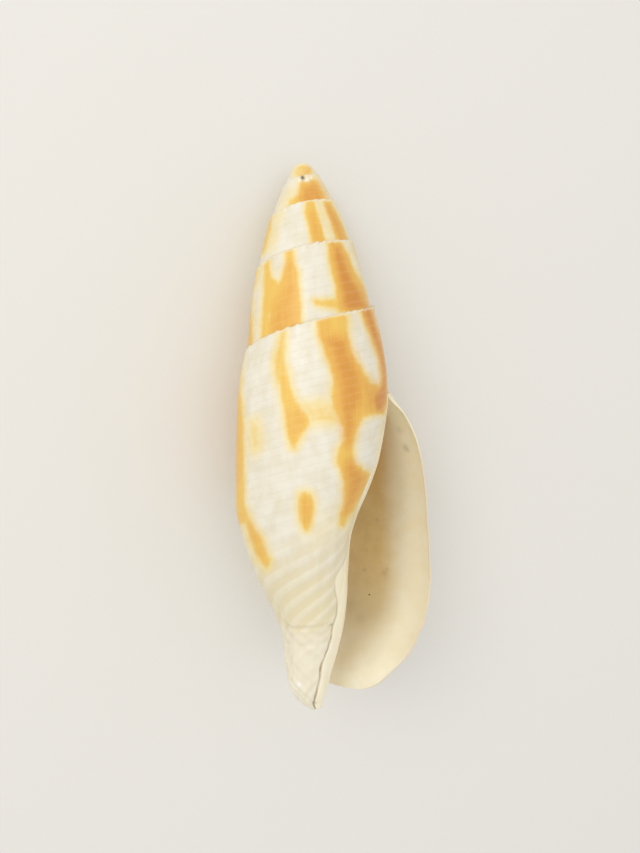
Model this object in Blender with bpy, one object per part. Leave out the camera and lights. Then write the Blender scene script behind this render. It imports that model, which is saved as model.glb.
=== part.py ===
"""Hermit miter shell: one naturally grown piece, lying as it rests, apex toward +Y.

The shell is worked out in its own growth frame (millimetres: x to the right, d down
the axis from the apex, z toward the viewer; theta in turns, 0 at the outer lip on the
right, growing from right to front to left to back). It is then turned into the pose
it rests in and written in metres.
"""

import math

import bmesh
import bpy
import numpy as np

# ---------------------------------------------------------------- driving dimensions
MM = 0.001
COLUMNS = 40  # faces round one turn (a multiple of 8)
ROWS_WHORL = 4  # rows between two sutures
ROWS_BODY = 26  # rows down the last whorl
RIM_STEPS = 3  # rows round the edge of the lip
WALL = 1.25  # wall of the last whorl
STUMP_END = 90.0  # d of the columella's tip
FACET = 0.2  # how much is worn flat where it rests
NOTCH = -0.375  # theta where the lip's edge meets the columella
HOLLOW_DEPTH = -1.25  # theta of the hollow's inner end
FOLD_HEIGHT = 0.55  # folds on the columella
FOLD_PITCH = 0.115  # their spacing, as a share of the columella's height
# the direction that is down when it lies at rest, in the growth frame (x, up, z)
DOWN = (-0.28, 0.214, -0.935)

# suture: depth below the apex, and the whorl's radius just below and just above it
TURNS = (-5, -4.5, -4, -3.5, -3, -2.5, -2, -1.5, -1, -0.5, 0)
SUTURE_D = (0.0, 0.55, 2.3, 4.2, 6.8, 9.6, 13.5, 18.0, 24.3, 31.3, 38.8)
SHOULDER_R = (0.0, 1.35, 2.55, 3.65, 4.95, 6.1, 7.35, 8.8, 10.15, 11.5, 12.0)
BELOW_R = (2.45, 3.45, 4.7, 5.75, 6.95, 8.35, 9.6, 11.0, 11.35)

# sections of the last whorl's outside, (depth, radius), by theta
OUTSIDE = {
    -1.0: [(24.3, 10.15), (27.6, 10.75), (31.7, 11.2), (35.5, 11.4), (38.8, 11.3), (44, 10.35),
           (48.2, 9.2), (54, 6.95), (58.9, 4.85), (63, 4.05), (67, 4.05), (71, 4.55), (75.4, 4.8),
           (80.4, 4.3), (84.5, 3.4), (87.8, 2.4), (89.6, 1.3)],
    -0.875: [(26, 10.55), (30, 11.31), (34, 11.78), (38, 11.98), (42, 11.9), (46, 11.3), (50, 10.3),
             (53, 9.1), (56, 7.7), (59, 6.25), (62, 5.3), (65, 5.15), (68, 5.4), (72, 5.5), (76, 5.25),
             (80, 4.6), (84, 3.8), (87, 2.9), (89.6, 1.3)],
    -0.75: [(27.5, 10.9), (32, 11.8), (38, 12.5), (44, 12.7), (50, 12.3), (55, 11.4), (60, 10.1),
            (65, 8.6), (70, 7.2), (75, 5.9), (80, 4.8), (84, 4.0), (87.5, 2.8), (89.6, 1.3)],
    -0.5: [(31.3, 11.5), (36.6, 12.9), (44, 13.9), (50.7, 14.4), (55.6, 14.55), (62.2, 13.1),
           (68, 10.35), (72.9, 7.15), (76.7, 5.05), (79, 4.35), (82.8, 3.75), (86, 3.1), (88, 2.3),
           (89.6, 1.3)],
    -0.375: [(33.1, 11.9), (38, 13.3), (44, 14.3), (50, 14.9), (56, 15.2), (62, 14.6), (68, 12.7),
             (73, 10.0), (77, 7.4), (80, 5.9), (83, 4.9), (86, 4.3), (89.6, 3.4)],
    -0.25: [(35.0, 12.1), (40, 13.7), (45, 14.8), (50, 15.5), (55, 15.9), (60, 15.9), (65, 15.4),
            (70, 14.3), (75, 12.7), (80, 11.0), (84, 9.8), (88, 9.0), (91, 8.6)],
    -0.125: [(36.9, 12.2), (40, 13.6), (44, 15.1), (48, 16.1), (55, 17.2), (62, 17.7), (68, 17.7),
             (74, 17.0), (80, 15.5), (84, 14.2), (88, 13.0), (92, 12.0)],
    0.0: [(38.8, 12.0), (40, 12.7), (43, 14.9), (48, 17.0), (54, 18.0), (60, 18.7), (66, 19.6),
          (71, 20.3), (76, 20.4), (80, 19.8), (84, 18.6), (88, 17.2), (92, 15.6)],
}
# sections of the wall nearest the axis inside the hollow
INSIDE = {
    -1.25: [(20.7, 8.9), (25, 7.9), (30, 6.3), (35, 4.9), (40, 3.9), (45, 3.2), (50, 2.8),
            (55, 2.6), (90, 2.5)],
    -1.0: [(24.3, 9.5), (28, 8.5), (33, 6.9), (38, 5.4), (43, 4.3), (48, 3.6), (53, 3.1),
           (58, 2.9), (90, 2.8)],
    -0.75: [(27.5, 10.2), (32, 9.3), (37, 7.7), (42, 6.1), (47, 4.9), (52, 4.0), (57, 3.4),
            (62, 3.1), (66, 3.0), (90, 3.0)],
    -0.5: [(31.2, 11.1), (36, 10.0), (41, 8.6), (46, 7.0), (51, 5.5), (56, 4.4), (61, 3.7),
           (66, 3.4), (71, 3.3), (76, 3.3), (90, 3.0)],
    -0.375: [(33.1, 11.15), (38, 10.1), (43, 8.8), (48, 7.3), (53, 5.9), (58, 4.7), (63, 3.9),
             (68, 3.6), (74, 3.5), (79, 3.5), (83, 3.4), (86, 3.1), (88, 2.2), (89.6, 1.3)],
    -0.25: [(35, 11.2), (40, 10.2), (45, 8.9), (50, 7.3), (55, 5.8), (60, 4.6), (65, 3.9),
            (70, 3.8), (76, 3.9), (80, 3.7), (84, 3.2), (87.5, 2.3), (89.6, 1.3)],
    -0.125: [(36.9, 11.3), (41, 10.7), (46, 9.3), (50, 8.0), (55, 6.4), (60, 5.0), (64, 4.3),
             (69, 4.1), (75, 4.3), (80, 3.9), (84, 3.3), (87.5, 2.3), (89.6, 1.3)],
}
# lower edge of the last whorl, the hollow's lower end and the tip's rim: (theta, depth)
LOWER_EDGE = [(-1, 89.6), (-0.6, 89.6), (-0.5, 89.2), (-0.43, 87.8), (-0.375, 86.0), (-0.34, 85.2),
              (-0.3, 85.4), (-0.26, 87.0), (-0.22, 88.9), (-0.185, 89.9), (-0.159, 90.25),
              (-0.135, 90.25), (-0.111, 90.0), (-0.1, 89.75), (-0.09, 89.45), (-0.072, 88.9),
              (-0.056, 88.4), (-0.04, 88.0), (0, 87.4)]
HOLLOW_END = [(-1.25, 52), (-1.0, 60.5), (-0.75, 70.5), (-0.62, 74.3), (-0.5, 77.0), (-0.43, 80.5),
              (-0.375, 86.0)]
TIP_RIM = [(-1.375, 86.0), (-1.27, 88.4), (-1.15, 89.5), (-1.05, 89.6), (-1.0, 89.6)]
# the outer lip's edge: share of the height, theta
LIP = [(0, 0), (0.02, -0.014), (0.056, -0.022), (0.16, -0.030), (0.25, -0.035), (0.36, -0.039),
       (0.435, -0.0415), (0.497, -0.040), (0.59, -0.035), (0.686, -0.029), (0.754, -0.0275),
       (0.812, -0.029), (0.872, -0.034), (0.917, -0.041), (0.951, -0.052), (0.973, -0.0645),
       (0.991, -0.084), (1.0, -0.102)]
# the axis leans a little to the left toward the tip: depth, offset
AXIS = [(0, -0.2), (20, -0.25), (36, -0.2), (50, 0), (58, -0.25), (63, -0.75), (68, -1.6),
        (73, -2.6), (77, -3.4), (81, -4.1), (85, -4.6), (88, -4.55), (90, -3.9), (94, -3.4)]


# ---------------------------------------------------------------- curves and sections
def curve(pairs):
    """A smooth curve through the pairs that adds no bumps, straight past its ends."""
    xs = np.array([p[0] for p in pairs], float)
    ys = np.array([p[1] for p in pairs], float)
    h = np.diff(xs)
    s = np.diff(ys) / h
    m = np.zeros(len(xs))
    for k in range(1, len(xs) - 1):
        if s[k - 1] * s[k] > 0:
            a, b = 2 * h[k] + h[k - 1], h[k] + 2 * h[k - 1]
            m[k] = (a + b) / (a / s[k - 1] + b / s[k])
    m[0], m[-1] = s[0], s[-1]

    def at(x):
        x = np.asarray(x, float)
        k = np.clip(np.searchsorted(xs, x) - 1, 0, len(xs) - 2)
        t = (x - xs[k]) / h[k]
        c = np.clip(t, 0, 1)
        y = (1 + 2 * c) * (1 - c) ** 2 * ys[k] + c * (1 - c) ** 2 * h[k] * m[k]
        y = y + c * c * (3 - 2 * c) * ys[k + 1] + c * c * (c - 1) * h[k] * m[k + 1]
        return y + np.where(t < 0, (x - xs[0]) * m[0], 0) + np.where(t > 1, (x - xs[-1]) * m[-1], 0)

    return at


def ease(a, b, x):
    t = np.clip((x - a) / (b - a), 0, 1)
    return t * t * (3 - 2 * t)


suture = curve(list(zip(TURNS, SUTURE_D)))
shoulder_r = curve(list(zip(TURNS, SHOULDER_R)))
below_r = curve(list(zip(TURNS, BELOW_R)))
lower_edge = curve(LOWER_EDGE)
hollow_end = curve(HOLLOW_END)
tip_rim = curve(TIP_RIM)
lip_theta = curve(LIP)
axis_x = curve(AXIS)


def blended(stations, values, theta):
    """Values worked out at each station, joined smoothly at the thetas asked for."""
    t_at = np.array(stations, float)
    vals = np.array(values)
    m = np.zeros_like(vals)
    last = len(t_at) - 1
    for q in range(len(t_at)):
        if q in (0, last):
            a = max(q - 1, 0)
            m[q] = (vals[a + 1] - vals[a]) / (t_at[a + 1] - t_at[a])
        else:
            a, b = t_at[q] - t_at[q - 1], t_at[q + 1] - t_at[q]
            m[q] = ((vals[q + 1] - vals[q]) / b * a + (vals[q] - vals[q - 1]) / a * b) / (a + b)
    k = np.clip(np.searchsorted(t_at, theta) - 1, 0, last - 1)
    h = t_at[k + 1] - t_at[k]
    t = (theta - t_at[k]) / h

    def pick(table, index):
        flat = table.reshape(len(t_at), -1)
        return np.take_along_axis(flat, index.reshape(1, -1), 0).reshape(theta.shape)

    y0, y1, m0, m1 = pick(vals, k), pick(vals, k + 1), pick(m, k), pick(m, k + 1)
    return ((1 + 2 * t) * (1 - t) ** 2 * y0 + t * (1 - t) ** 2 * h * m0
            + t * t * (3 - 2 * t) * y1 + t * t * (t - 1) * h * m1)


OUT_AT = sorted(OUTSIDE)
OUT_CURVES = [curve(OUTSIDE[t]) for t in OUT_AT]
IN_AT = sorted(INSIDE)
IN_CURVES = [curve(INSIDE[t]) for t in IN_AT]


def body_r(theta, d):
    """Outside radius of the last whorl, theta -1 to 0."""
    theta, d = np.broadcast_arrays(np.asarray(theta, float), np.asarray(d, float))
    share = (d - suture(theta)) / (STUMP_END - suture(theta))
    values = []
    for t, section in zip(OUT_AT, OUT_CURVES):
        top = float(suture(t))
        values.append(section(top + share * (STUMP_END - top)))
    return blended(OUT_AT, values, theta)


def spire_r(theta, d):
    """Outside radius of an upper whorl, between its suture and the next."""
    w = np.clip((d - suture(theta)) / (suture(theta + 1) - suture(theta)), 0, 1.2)
    upper, lower = shoulder_r(theta), below_r(theta)
    swell = 0.02 * lower * np.clip((theta + 4.5) / 1.5, 0, 1)
    dome = 0.55 + 0.45 * ease(-5, -4.1, theta)
    return upper + (lower - upper) * w**dome + swell * 4 * w * (1 - w)


def outer_r(theta, d):
    theta, d = np.broadcast_arrays(np.asarray(theta, float), np.asarray(d, float))
    k = ease(-1.3, -1.0, theta)
    s0, s1 = float(suture(-1.0)), float(suture(0.0))
    w = (d - suture(theta)) / (suture(np.minimum(theta, -1) + 1) - suture(np.minimum(theta, -1)))
    d_body = np.where(theta < -1, s0 + w * (s1 - s0), d)
    return spire_r(theta, d) * (1 - k) + body_r(np.clip(theta, -1, 0.02), d_body) * k


def inner_r(theta, d):
    """Radius of the wall nearest the axis inside the hollow; theta 0 at the lip."""
    theta, d = np.broadcast_arrays(np.asarray(theta, float), np.asarray(d, float))
    values = [section(d) for section in IN_CURVES] + [body_r(np.full(theta.shape, -1.0), d)]
    r = blended(IN_AT + [0.0], values, theta)
    top = suture(theta)
    v = (d - top) / (hollow_end(np.minimum(theta, -0.375)) - top)
    fold = np.zeros(theta.shape)
    for q in range(4):
        at = 0.42 + q * FOLD_PITCH - 0.10 * theta
        fold = fold + (1 - 0.16 * q) * np.exp(-(((v - at) / 0.026) ** 2))
    return r + FOLD_HEIGHT * fold * ease(-0.03, -0.14, theta) * ease(3.2, 5.0, r + 1.2)


def place(theta, d, r):
    a = 2 * np.pi * theta
    return np.stack([axis_x(d) + r * np.cos(a), d, r * np.sin(a)], -1)


# ---------------------------------------------------------------- the surface
def shell_surface(columns, rows_whorl, rows_body, rim_steps):
    """Points (x, d, z) in millimetres and faces of the whole shell, one closed skin."""
    points, faces = [], []

    def add(p):
        start = sum(len(q) for q in points)
        points.append(p.reshape(-1, 3))
        return start + np.arange(int(np.prod(p.shape[:-1]))).reshape(p.shape[:-1])

    def so_far(index):
        return np.concatenate(points)[index]

    # upper whorls, and the last whorl down to its lower edge
    spire_columns = 4 * columns
    theta = -5 + np.arange(spire_columns + 1) / columns
    v = np.linspace(0, 1, rows_whorl + 1)
    d = suture(theta)[:, None] + v * (suture(theta + 1) - suture(theta))[:, None]
    th = np.repeat(theta[:, None], rows_whorl + 1, 1)
    spire = add(place(th, d, outer_r(th, d))[:-1])

    s0, s1 = float(suture(-1.0)), float(suture(0.0))
    covered = (s1 - s0) / (float(lower_edge(-1.0)) - s0)
    rows = np.concatenate([
        np.linspace(0, covered, rows_whorl + 1),
        covered + (1 - covered) * np.linspace(0, 1, rows_body - rows_whorl + 1)[1:],
    ])
    lip = lip_theta(rows)

    def toward_lip(t):
        """Column angles, drawn toward the lip's own curve near the mouth."""
        plain = np.repeat(t[:, None], rows_body + 1, 1)
        share = np.clip((t + 0.3) / 0.3, 0, 1)[:, None]
        return np.where(share > 0, -0.3 + share * (lip + 0.3), plain)

    th = toward_lip(-1 + np.arange(columns + 1) / columns)
    d = suture(th) + rows * (lower_edge(th) - suture(th))
    body = add(place(th, d, body_r(th, d)))

    def column(j):
        return spire[j] if j < spire_columns else body[j - spire_columns]

    for j in range(spire_columns + columns):
        a, b = column(j), column(j + 1)
        for i in range(rows_whorl if j < spire_columns else rows_body):
            faces.append((a[i], a[i + 1], b[i + 1], b[i]))
    for j in range(spire_columns):  # the step at the suture
        a, b, c, e = column(j), column(j + 1), column(j + columns), column(j + columns + 1)
        faces.append((a[rows_whorl], c[0], e[0], b[rows_whorl]))
    apex = spire[0, 0]
    ring = [spire[j, 0] for j in range(1, columns + 1)]
    ring += [spire[0, i] for i in range(rows_whorl, 0, -1)]
    for k in range(len(ring) - 1):
        faces.append((ring[k], ring[k + 1], apex))

    # the hollow: wall nearest the axis
    mouth = int(round(-NOTCH * columns))
    depth = int(round((NOTCH - HOLLOW_DEPTH) * columns))
    back = np.concatenate([
        -np.arange(mouth + 1) / columns,
        NOTCH - np.arange(1, depth + 1) * (NOTCH - HOLLOW_DEPTH) / depth,
    ])
    top = suture(back) + 1.3 * ease(0, -0.06, back)
    end = np.where(back >= NOTCH, tip_rim(np.maximum(back - 1, NOTCH - 1)),
                   hollow_end(np.minimum(back, NOTCH)))
    w = (rows[rows_whorl:] - covered) / (1 - covered)
    d = top[:, None] + w * (end - top)[:, None]
    th = np.repeat(back[:, None], len(w), 1)
    near = add(place(th, d, inner_r(th, d))[1:])

    def inner(k):
        return body[0, rows_whorl:] if k == 0 else near[k - 1]

    for k in range(len(back) - 1):
        a, b = inner(k), inner(k + 1)
        for i in range(len(w) - 1):
            faces.append((b[i], b[i + 1], a[i + 1], a[i]))

    # the hollow: underside of the outer wall
    th = toward_lip(back)
    end = np.where(th >= NOTCH, lower_edge(th), hollow_end(np.minimum(th, NOTCH)))
    top = suture(th) + 1.3 * ease(0, -0.06, th) + 0.25
    d = top + rows * (end - top)
    t_body = np.maximum(th, -1)
    outside = np.where(th < -1, outer_r(th, d), body_r(t_body, d))
    slope = (body_r(t_body, d + 0.05) - body_r(t_body, d - 0.05)) / 0.1
    axis_wall = inner_r(np.clip(th, HOLLOW_DEPTH, 0), d)
    full = np.maximum(outside - WALL * np.sqrt(1 + slope**2), axis_wall + 0.02)
    vault = np.sqrt(np.maximum(1 - (1 - np.clip((d - top) / 3.2, 0, 1)) ** 2, 0))
    floor = np.sqrt(np.maximum(1 - (1 - np.clip((end - d) / 4.0, 0, 1)) ** 2, 0))
    floor = np.where(th < NOTCH, floor, 1.0)
    far = add(place(th, d, axis_wall + (full - axis_wall) * vault * floor))
    for k in range(mouth, len(back)):
        far[k, -1] = inner(k)[-1]
    for k in range(len(back) - 1):
        for i in range(rows_body):
            faces.append((far[k, i], far[k, i + 1], far[k + 1, i + 1], far[k + 1, i]))
        faces.append((inner(k)[0], far[k, 0], far[k + 1, 0], inner(k + 1)[0]))
    ring = list(far[-1]) + list(inner(len(back) - 1)[::-1][1:])
    centre = add(so_far(ring).mean(0)[None, :])[0]
    for k in range(len(ring)):
        faces.append((ring[k], ring[(k + 1) % len(ring)], centre))

    # the rounded edge of the lip and of the notch
    last = int(round((1 + NOTCH) * columns))
    below = range(columns - 1, last - 1, -1)
    edge = [body[columns, i] for i in range(rows_body + 1)] + [body[j, rows_body] for j in below]
    behind = [body[columns - 1, i] for i in range(rows_body + 1)]
    behind += [body[j, rows_body - 1] for j in below]
    under = [far[0, i] for i in range(rows_body + 1)] + [far[k, -1] for k in range(1, mouth + 1)]
    p0, p1 = so_far(edge), so_far(under)
    out = p0 - so_far(behind)
    out /= np.linalg.norm(out, axis=1)[:, None]
    for _ in range(3):
        mix = out.copy()
        mix[1:-1] = out[:-2] + 2 * out[1:-1] + out[2:]
        out = mix / np.linalg.norm(mix, axis=1)[:, None]
    n = len(edge)
    step = np.arange(n)
    bulge = 0.5 * np.linalg.norm(p0 - p1, axis=1) * np.minimum(1, np.minimum(step, n - 1 - step) / 3)
    chain = [np.array(edge)]
    for q in range(1, rim_steps):
        a = math.pi * q / rim_steps
        c = (1 - math.cos(a)) / 2
        chain.append(add(p0 * (1 - c) + p1 * c + out * (bulge * math.sin(a))[:, None]))
    chain.append(np.array(under))
    for a, b in zip(chain, chain[1:]):
        for k in range(n - 1):
            faces.append((a[k], a[k + 1], b[k + 1], b[k]))
    faces.append((body[0, rows_whorl], *[c[0] for c in chain]))

    # the columella's blunt tip
    ring = [body[j, rows_body] for j in range(last + 1)] + [c[-1] for c in chain[1:]]
    ring += [inner(k)[-1] for k in range(mouth - 1, 0, -1)]
    base = so_far(ring)
    tip = np.array([float(axis_x(STUMP_END)), STUMP_END, 0.0])
    outer = np.array(ring)
    for share in (0.72, 0.4):
        p = tip + (base - tip) * share
        p[:, 1] = STUMP_END - (STUMP_END - base[:, 1]) * share**2
        ring = add(p)
        for k in range(len(ring)):
            j = (k + 1) % len(ring)
            faces.append((outer[k], ring[k], ring[j], outer[j]))
        outer = ring
    end = add(tip[None, :])[0]
    for k in range(len(outer)):
        faces.append((outer[k], end, outer[(k + 1) % len(outer)]))
    return np.concatenate(points), faces


def resting(points):
    """From the growth frame to the resting frame, in millimetres."""
    p = points * np.array([1.0, -1.0, 1.0])
    up = -np.array(DOWN) / np.linalg.norm(DOWN)
    ahead = np.array([0.0, 1.0, 0.0]) - up[1] * up
    ahead /= np.linalg.norm(ahead)
    return p @ np.stack([np.cross(ahead, up), ahead, up], 1)


# ---------------------------------------------------------------- the object
for obj in list(bpy.data.objects):
    bpy.data.objects.remove(obj, do_unlink=True)

collection = bpy.data.collections.new("hermit_miter_shell")
bpy.context.scene.collection.children.link(collection)

points, faces = shell_surface(COLUMNS, ROWS_WHORL, ROWS_BODY, RIM_STEPS)
points = resting(points)
low = points.min(0)
high = points.max(0)
points -= np.array([(low[0] + high[0]) / 2, (low[1] + high[1]) / 2, low[2] + FACET])

mesh = bpy.data.meshes.new("miter_shell")
mesh.from_pydata((points * MM).tolist(), [], [[int(i) for i in f[::-1]] for f in faces])
shell = bpy.data.objects.new("miter_shell", mesh)
collection.objects.link(shell)

# the small flats it has been worn to where it touches the ground
bm = bmesh.new()
bm.from_mesh(mesh)
bmesh.ops.triangulate(bm, faces=bm.faces[:])
cut = bmesh.ops.bisect_plane(
    bm, geom=bm.verts[:] + bm.edges[:] + bm.faces[:], dist=1e-8,
    plane_co=(0, 0, 0), plane_no=(0, 0, -1), clear_outer=True,
)
edges = [e for e in cut["geom_cut"] if isinstance(e, bmesh.types.BMEdge)]
bmesh.ops.edgenet_fill(bm, edges=edges)
bmesh.ops.recalc_face_normals(bm, faces=bm.faces[:])
bm.to_mesh(mesh)
bm.free()

material = bpy.data.materials.new("shell_cream")
material.use_nodes = True
surface = material.node_tree.nodes["Principled BSDF"]
surface.inputs["Base Color"].default_value = (0.84, 0.74, 0.52, 1.0)
surface.inputs["Roughness"].default_value = 0.35
mesh.materials.append(material)
for face in mesh.polygons:
    face.use_smooth = True
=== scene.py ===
import math

import bmesh
import bpy
import numpy as np
from mathutils import Matrix, Vector


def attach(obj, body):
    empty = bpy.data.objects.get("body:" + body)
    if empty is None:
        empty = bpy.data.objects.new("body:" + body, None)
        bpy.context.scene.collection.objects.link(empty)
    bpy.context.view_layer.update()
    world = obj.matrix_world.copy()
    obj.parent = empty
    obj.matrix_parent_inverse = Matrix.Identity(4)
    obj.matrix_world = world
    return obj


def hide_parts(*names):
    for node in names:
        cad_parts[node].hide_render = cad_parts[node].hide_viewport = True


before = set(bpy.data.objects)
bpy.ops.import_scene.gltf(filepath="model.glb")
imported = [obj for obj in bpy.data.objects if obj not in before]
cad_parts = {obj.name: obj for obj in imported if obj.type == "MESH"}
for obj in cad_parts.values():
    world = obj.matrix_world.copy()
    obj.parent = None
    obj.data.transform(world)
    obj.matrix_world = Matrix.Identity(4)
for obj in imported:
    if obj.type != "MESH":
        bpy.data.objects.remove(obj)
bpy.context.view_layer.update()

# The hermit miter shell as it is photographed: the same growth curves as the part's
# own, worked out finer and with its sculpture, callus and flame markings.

# ---------------------------------------------------------------- driving dimensions
MM = 0.001
COLUMNS = 40  # faces round one turn (a multiple of 8)
ROWS_WHORL = 4  # rows between two sutures
ROWS_BODY = 26  # rows down the last whorl
RIM_STEPS = 3  # rows round the edge of the lip
WALL = 1.25  # wall of the last whorl
STUMP_END = 90.0  # d of the columella's tip
FACET = 0.2  # how much is worn flat where it rests
NOTCH = -0.375  # theta where the lip's edge meets the columella
HOLLOW_DEPTH = -1.25  # theta of the hollow's inner end
FOLD_HEIGHT = 0.55  # folds on the columella
FOLD_PITCH = 0.115  # their spacing, as a share of the columella's height
# the direction that is down when it lies at rest, in the growth frame (x, up, z)
DOWN = (-0.28, 0.214, -0.935)

# suture: depth below the apex, and the whorl's radius just below and just above it
TURNS = (-5, -4.5, -4, -3.5, -3, -2.5, -2, -1.5, -1, -0.5, 0)
SUTURE_D = (0.0, 0.55, 2.3, 4.2, 6.8, 9.6, 13.5, 18.0, 24.3, 31.3, 38.8)
SHOULDER_R = (0.0, 1.35, 2.55, 3.65, 4.95, 6.1, 7.35, 8.8, 10.15, 11.5, 12.0)
BELOW_R = (2.45, 3.45, 4.7, 5.75, 6.95, 8.35, 9.6, 11.0, 11.35)

# sections of the last whorl's outside, (depth, radius), by theta
OUTSIDE = {
    -1.0: [(24.3, 10.15), (27.6, 10.75), (31.7, 11.2), (35.5, 11.4), (38.8, 11.3), (44, 10.35),
           (48.2, 9.2), (54, 6.95), (58.9, 4.85), (63, 4.05), (67, 4.05), (71, 4.55), (75.4, 4.8),
           (80.4, 4.3), (84.5, 3.4), (87.8, 2.4), (89.6, 1.3)],
    -0.875: [(26, 10.55), (30, 11.31), (34, 11.78), (38, 11.98), (42, 11.9), (46, 11.3), (50, 10.3),
             (53, 9.1), (56, 7.7), (59, 6.25), (62, 5.3), (65, 5.15), (68, 5.4), (72, 5.5), (76, 5.25),
             (80, 4.6), (84, 3.8), (87, 2.9), (89.6, 1.3)],
    -0.75: [(27.5, 10.9), (32, 11.8), (38, 12.5), (44, 12.7), (50, 12.3), (55, 11.4), (60, 10.1),
            (65, 8.6), (70, 7.2), (75, 5.9), (80, 4.8), (84, 4.0), (87.5, 2.8), (89.6, 1.3)],
    -0.5: [(31.3, 11.5), (36.6, 12.9), (44, 13.9), (50.7, 14.4), (55.6, 14.55), (62.2, 13.1),
           (68, 10.35), (72.9, 7.15), (76.7, 5.05), (79, 4.35), (82.8, 3.75), (86, 3.1), (88, 2.3),
           (89.6, 1.3)],
    -0.375: [(33.1, 11.9), (38, 13.3), (44, 14.3), (50, 14.9), (56, 15.2), (62, 14.6), (68, 12.7),
             (73, 10.0), (77, 7.4), (80, 5.9), (83, 4.9), (86, 4.3), (89.6, 3.4)],
    -0.25: [(35.0, 12.1), (40, 13.7), (45, 14.8), (50, 15.5), (55, 15.9), (60, 15.9), (65, 15.4),
            (70, 14.3), (75, 12.7), (80, 11.0), (84, 9.8), (88, 9.0), (91, 8.6)],
    -0.125: [(36.9, 12.2), (40, 13.6), (44, 15.1), (48, 16.1), (55, 17.2), (62, 17.7), (68, 17.7),
             (74, 17.0), (80, 15.5), (84, 14.2), (88, 13.0), (92, 12.0)],
    0.0: [(38.8, 12.0), (40, 12.7), (43, 14.9), (48, 17.0), (54, 18.0), (60, 18.7), (66, 19.6),
          (71, 20.3), (76, 20.4), (80, 19.8), (84, 18.6), (88, 17.2), (92, 15.6)],
}
# sections of the wall nearest the axis inside the hollow
INSIDE = {
    -1.25: [(20.7, 8.9), (25, 7.9), (30, 6.3), (35, 4.9), (40, 3.9), (45, 3.2), (50, 2.8),
            (55, 2.6), (90, 2.5)],
    -1.0: [(24.3, 9.5), (28, 8.5), (33, 6.9), (38, 5.4), (43, 4.3), (48, 3.6), (53, 3.1),
           (58, 2.9), (90, 2.8)],
    -0.75: [(27.5, 10.2), (32, 9.3), (37, 7.7), (42, 6.1), (47, 4.9), (52, 4.0), (57, 3.4),
            (62, 3.1), (66, 3.0), (90, 3.0)],
    -0.5: [(31.2, 11.1), (36, 10.0), (41, 8.6), (46, 7.0), (51, 5.5), (56, 4.4), (61, 3.7),
           (66, 3.4), (71, 3.3), (76, 3.3), (90, 3.0)],
    -0.375: [(33.1, 11.15), (38, 10.1), (43, 8.8), (48, 7.3), (53, 5.9), (58, 4.7), (63, 3.9),
             (68, 3.6), (74, 3.5), (79, 3.5), (83, 3.4), (86, 3.1), (88, 2.2), (89.6, 1.3)],
    -0.25: [(35, 11.2), (40, 10.2), (45, 8.9), (50, 7.3), (55, 5.8), (60, 4.6), (65, 3.9),
            (70, 3.8), (76, 3.9), (80, 3.7), (84, 3.2), (87.5, 2.3), (89.6, 1.3)],
    -0.125: [(36.9, 11.3), (41, 10.7), (46, 9.3), (50, 8.0), (55, 6.4), (60, 5.0), (64, 4.3),
             (69, 4.1), (75, 4.3), (80, 3.9), (84, 3.3), (87.5, 2.3), (89.6, 1.3)],
}
# lower edge of the last whorl, the hollow's lower end and the tip's rim: (theta, depth)
LOWER_EDGE = [(-1, 89.6), (-0.6, 89.6), (-0.5, 89.2), (-0.43, 87.8), (-0.375, 86.0), (-0.34, 85.2),
              (-0.3, 85.4), (-0.26, 87.0), (-0.22, 89.1), (-0.185, 90.2), (-0.159, 90.65),
              (-0.137, 90.75), (-0.118, 90.4), (-0.104, 89.9), (-0.09, 89.45), (-0.072, 88.9),
              (-0.056, 88.4), (-0.04, 88.0), (0, 87.4)]
HOLLOW_END = [(-1.25, 52), (-1.0, 60.5), (-0.75, 70.5), (-0.62, 74.3), (-0.5, 77.0), (-0.43, 80.5),
              (-0.375, 86.0)]
TIP_RIM = [(-1.375, 86.0), (-1.27, 88.4), (-1.15, 89.5), (-1.05, 89.6), (-1.0, 89.6)]
# the outer lip's edge: share of the height, theta
LIP = [(0, 0), (0.02, -0.014), (0.056, -0.022), (0.16, -0.030), (0.25, -0.035), (0.36, -0.039),
       (0.435, -0.0415), (0.497, -0.040), (0.59, -0.035), (0.686, -0.029), (0.754, -0.0275),
       (0.812, -0.029), (0.86, -0.0315), (0.896, -0.0350), (0.9327, -0.0445), (0.951, -0.0535),
       (0.968, -0.0645), (0.985, -0.0770), (0.996, -0.0920), (1.0, -0.1060)]
# the axis leans a little to the left toward the tip: depth, offset
AXIS = [(0, -0.2), (20, -0.25), (36, -0.2), (50, 0), (58, -0.25), (63, -0.75), (68, -1.6),
        (73, -2.6), (77, -3.4), (81, -4.1), (85, -4.6), (88, -4.55), (90, -3.9), (94, -3.4)]


# ---------------------------------------------------------------- curves and sections
def curve(pairs):
    """A smooth curve through the pairs that adds no bumps, straight past its ends."""
    xs = np.array([p[0] for p in pairs], float)
    ys = np.array([p[1] for p in pairs], float)
    h = np.diff(xs)
    s = np.diff(ys) / h
    m = np.zeros(len(xs))
    for k in range(1, len(xs) - 1):
        if s[k - 1] * s[k] > 0:
            a, b = 2 * h[k] + h[k - 1], h[k] + 2 * h[k - 1]
            m[k] = (a + b) / (a / s[k - 1] + b / s[k])
    m[0], m[-1] = s[0], s[-1]

    def at(x):
        x = np.asarray(x, float)
        k = np.clip(np.searchsorted(xs, x) - 1, 0, len(xs) - 2)
        t = (x - xs[k]) / h[k]
        c = np.clip(t, 0, 1)
        y = (1 + 2 * c) * (1 - c) ** 2 * ys[k] + c * (1 - c) ** 2 * h[k] * m[k]
        y = y + c * c * (3 - 2 * c) * ys[k + 1] + c * c * (c - 1) * h[k] * m[k + 1]
        return y + np.where(t < 0, (x - xs[0]) * m[0], 0) + np.where(t > 1, (x - xs[-1]) * m[-1], 0)

    return at


def ease(a, b, x):
    t = np.clip((x - a) / (b - a), 0, 1)
    return t * t * (3 - 2 * t)


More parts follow.
